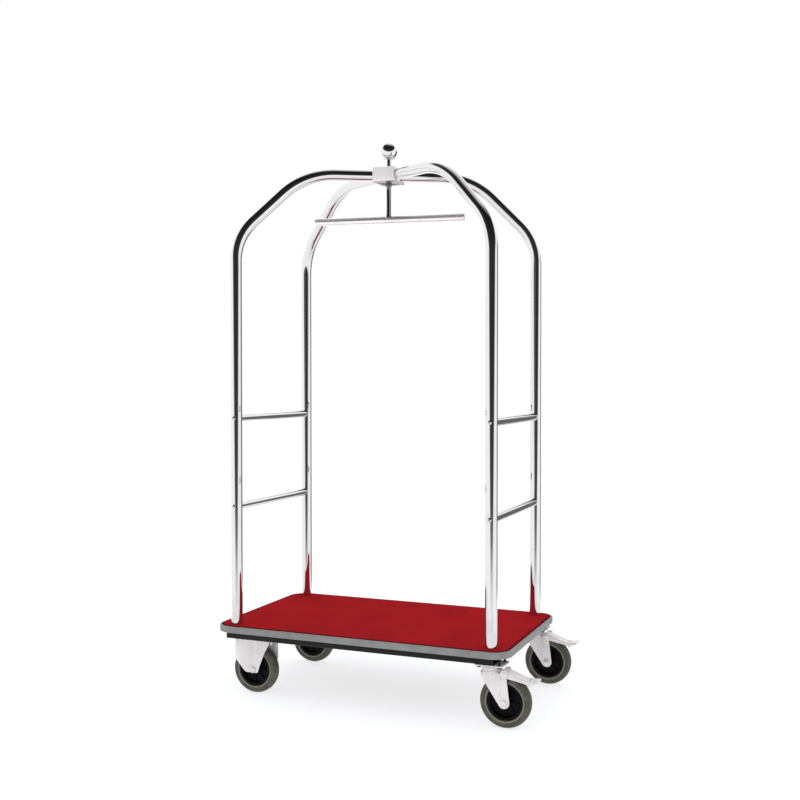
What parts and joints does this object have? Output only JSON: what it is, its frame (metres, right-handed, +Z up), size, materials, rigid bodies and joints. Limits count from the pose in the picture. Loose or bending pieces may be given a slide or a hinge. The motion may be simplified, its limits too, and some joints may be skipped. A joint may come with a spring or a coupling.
{
  "type": "hotel luggage cart",
  "caption": "Birdcage luggage cart: carpeted deck with rubber edge bumper, bent chrome corner posts, side rails, turning garment bar, fixed and braked swivelling casters.",
  "frame": {"origin": "on the floor under the middle of the cart's outline, with the swivelling casters trailing", "axes": "+X along the deck towards the swivelling casters, +Y across the deck towards its back long side, +Z up"},
  "size_m": [1.1016, 0.601, 1.845],
  "materials": {
    "chrome": "mirror-polished chrome plate",
    "zinc": "bright zinc plate on pressed steel",
    "black_paint": "satin black paint",
    "plywood": "plain plywood",
    "carpet": "short cut-pile carpet",
    "bumper_rubber": "matt grey rubber",
    "tyre_rubber": "matt dark grey rubber",
    "black_plastic": "satin black plastic"
  },
  "bodies": {
    "cart": {"deck_board": "plywood", "deck_carpet": "carpet", "edge_bumper": "bumper_rubber", "frame_rail_front": "black_paint", "frame_rail_back": "black_paint", "frame_crossbar_left": "black_paint", "frame_crossbar_middle": "black_paint", "frame_crossbar_right": "black_paint", "post_front_left": "chrome", "post_anchor_front_left": "zinc", "rail_screw_front_left_lower": "chrome", "rail_screw_front_left_upper": "chrome", "post_front_right": "chrome", "post_anchor_front_right": "zinc", "rail_screw_front_right_lower": "chrome", "rail_screw_front_right_upper": "chrome", "post_back_left": "chrome", "post_anchor_back_left": "zinc", "rail_screw_back_left_lower": "chrome", "rail_screw_back_left_upper": "chrome", "post_back_right": "chrome", "post_anchor_back_right": "zinc", "rail_screw_back_right_lower": "chrome", "rail_screw_back_right_upper": "chrome", "side_rail_left_lower": "chrome", "side_rail_right_lower": "chrome", "side_rail_left_upper": "chrome", "side_rail_right_upper": "chrome", "crown_block": "chrome", "front_left_caster_housing": "zinc", "back_left_caster_housing": "zinc", "front_right_caster_plate": "zinc", "front_right_kingpin": "zinc", "back_right_caster_plate": "zinc", "back_right_kingpin": "zinc", "front_left_axle_bolt": "zinc", "front_left_axle_nut": "zinc", "back_left_axle_bolt": "zinc", "back_left_axle_nut": "zinc"},
    "hanger": {"finial_ball": "chrome", "hanger_rod": "chrome", "hanger_bar": "chrome", "hanger_cap_left": "chrome", "hanger_cap_right": "chrome"},
    "front_left_wheel": {"front_left_tyre": "tyre_rubber", "front_left_hub": "black_plastic"},
    "front_right_wheel": {"front_right_tyre": "tyre_rubber", "front_right_hub": "black_plastic"},
    "back_left_wheel": {"back_left_tyre": "tyre_rubber", "back_left_hub": "black_plastic"},
    "back_right_wheel": {"back_right_tyre": "tyre_rubber", "back_right_hub": "black_plastic"},
    "front_right_swivel": {"front_right_fork": "zinc", "front_right_axle_bolt": "zinc", "front_right_axle_nut": "zinc"},
    "front_right_pedal": {"front_right_brake_pedal": "zinc"},
    "back_right_swivel": {"back_right_fork": "zinc", "back_right_axle_bolt": "zinc", "back_right_axle_nut": "zinc"},
    "back_right_pedal": {"back_right_brake_pedal": "zinc"}
  },
  "joints": [
    {"name": "hanger_turn", "type": "hinge", "parent": "cart", "child": "hanger", "pos_m": [-0.04425, 0, 1.733], "axis": [0, 0, 1], "continuous": true},
    {"name": "front_left_wheel_spin", "type": "hinge", "parent": "cart", "child": "front_left_wheel", "pos_m": [-0.43525, -0.212, 0.08], "axis": [0, 1, 0], "continuous": true},
    {"name": "back_left_wheel_spin", "type": "hinge", "parent": "cart", "child": "back_left_wheel", "pos_m": [-0.43525, 0.212, 0.08], "axis": [0, 1, 0], "continuous": true},
    {"name": "front_right_caster_turn", "type": "hinge", "parent": "cart", "child": "front_right_swivel", "pos_m": [0.40175, -0.254, 0.18], "axis": [0, 0, 1], "continuous": true},
    {"name": "front_right_wheel_spin", "type": "hinge", "parent": "front_right_swivel", "child": "front_right_wheel", "pos_m": [0.44575, -0.254, 0.08], "axis": [0, 1, 0], "continuous": true},
    {"name": "front_right_brake", "type": "hinge", "parent": "front_right_swivel", "child": "front_right_pedal", "pos_m": [0.44475, -0.254, 0.168], "axis": [0, 1, 0], "range_deg": [0, 8]},
    {"name": "back_right_caster_turn", "type": "hinge", "parent": "cart", "child": "back_right_swivel", "pos_m": [0.40175, 0.254, 0.18], "axis": [0, 0, 1], "continuous": true},
    {"name": "back_right_wheel_spin", "type": "hinge", "parent": "back_right_swivel", "child": "back_right_wheel", "pos_m": [0.44575, 0.254, 0.08], "axis": [0, 1, 0], "continuous": true},
    {"name": "back_right_brake", "type": "hinge", "parent": "back_right_swivel", "child": "back_right_pedal", "pos_m": [0.44475, 0.254, 0.168], "axis": [0, 1, 0], "range_deg": [0, 8]}
  ]
}
